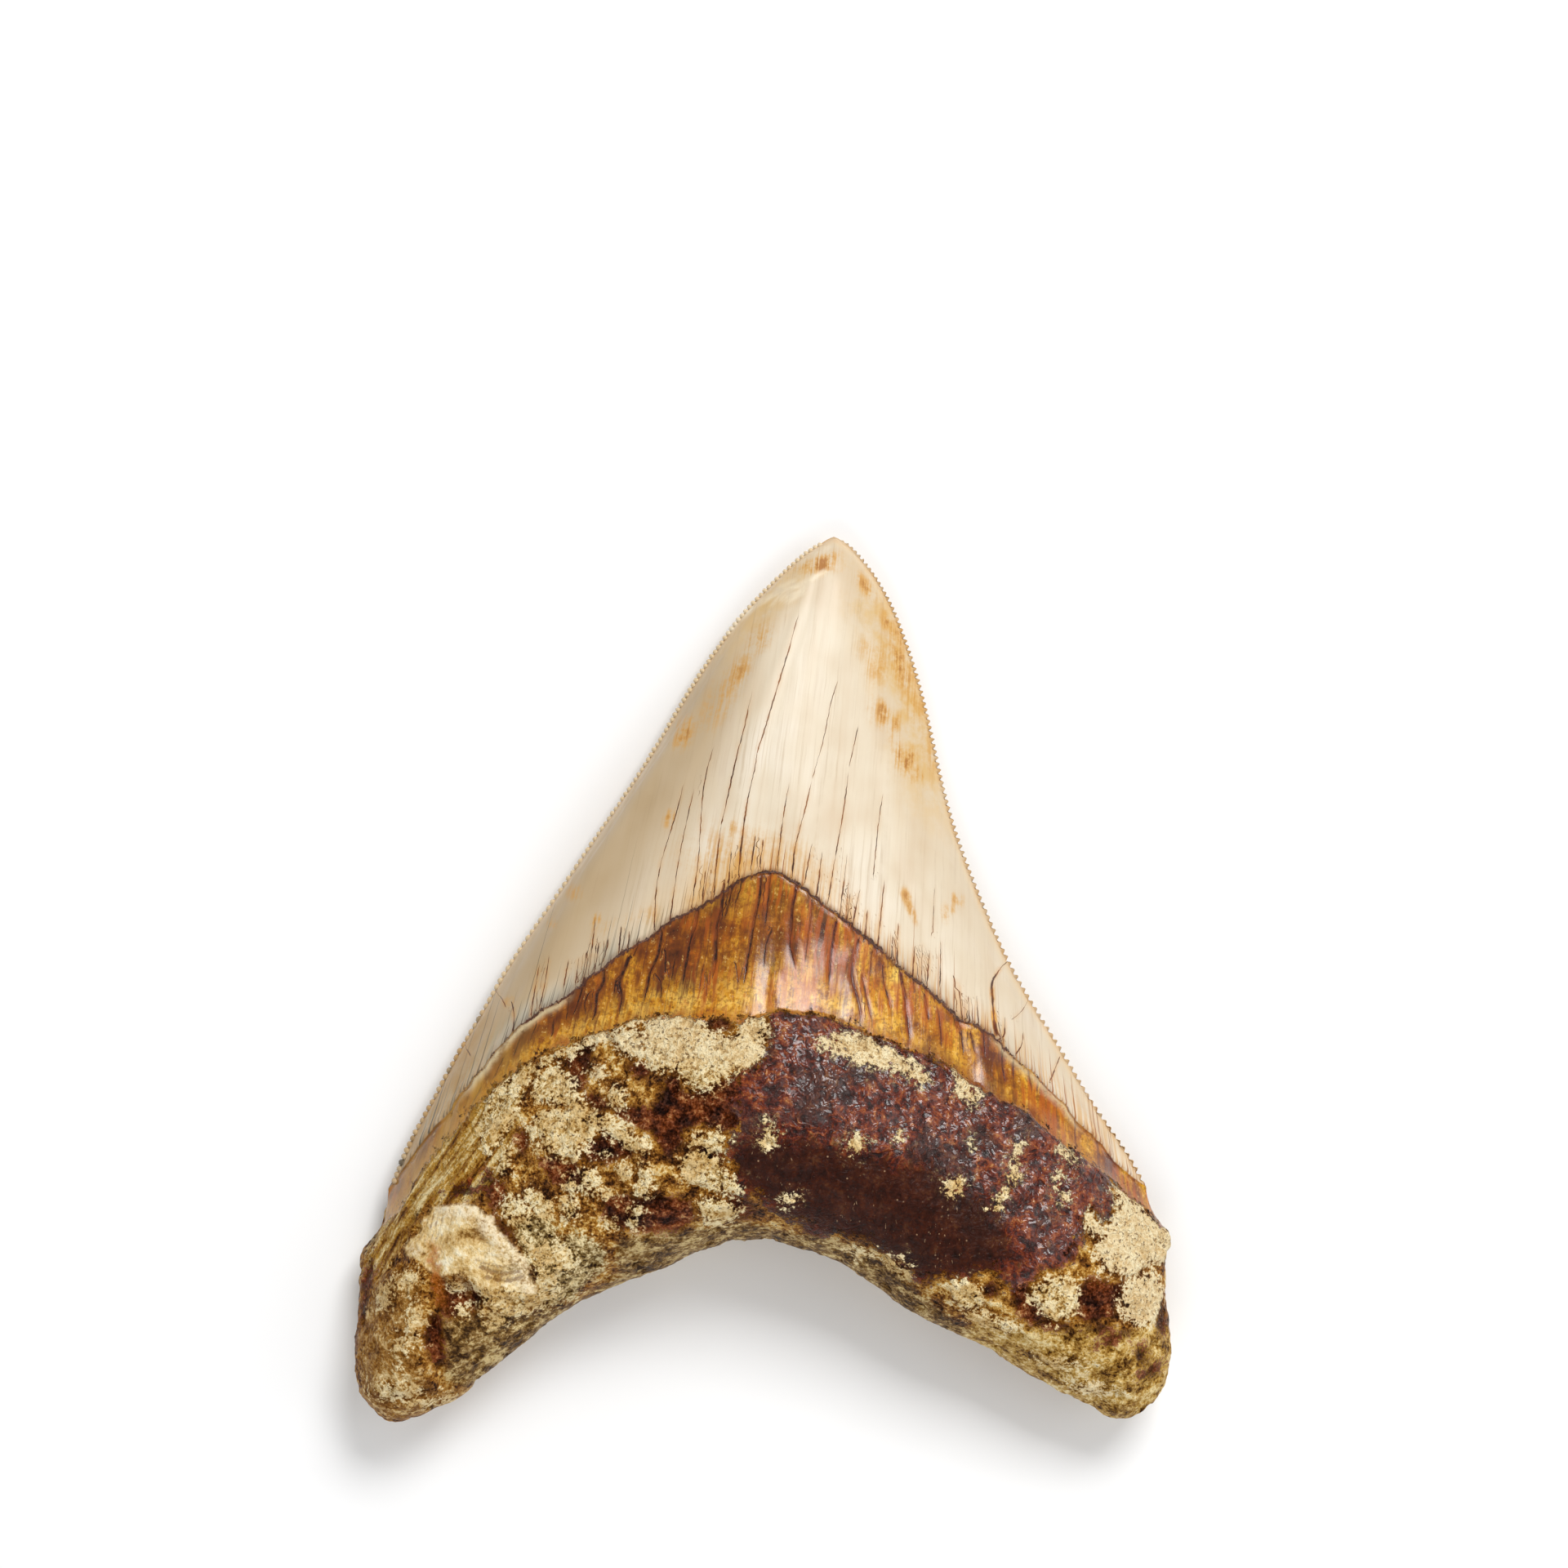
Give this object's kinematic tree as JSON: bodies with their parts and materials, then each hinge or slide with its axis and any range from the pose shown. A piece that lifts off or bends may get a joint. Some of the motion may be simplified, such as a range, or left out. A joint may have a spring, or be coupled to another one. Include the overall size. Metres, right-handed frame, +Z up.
{
  "type": "fossil shark tooth",
  "caption": "Large fossil megalodon tooth: broad triangular crown with serrated edges, a dark neck band and a heavy two-lobed root, lying on its flatter outer face.",
  "frame": {"origin": "on the surface the tooth lies on, under the middle of its outline", "axes": "+Z up, out of the lingual face; +Y from the root's lobes to the tip of the crown; +X to the right lobe, seen from above with the tip away from the viewer"},
  "size_m": [0.1056, 0.1142, 0.0244],
  "materials": {
    "fossil": "glossy cream enamel, polished amber neck band, crusted ochre and dark maroon root"
  },
  "bodies": {
    "root": {"tooth": "fossil"}
  },
  "joints": []
}
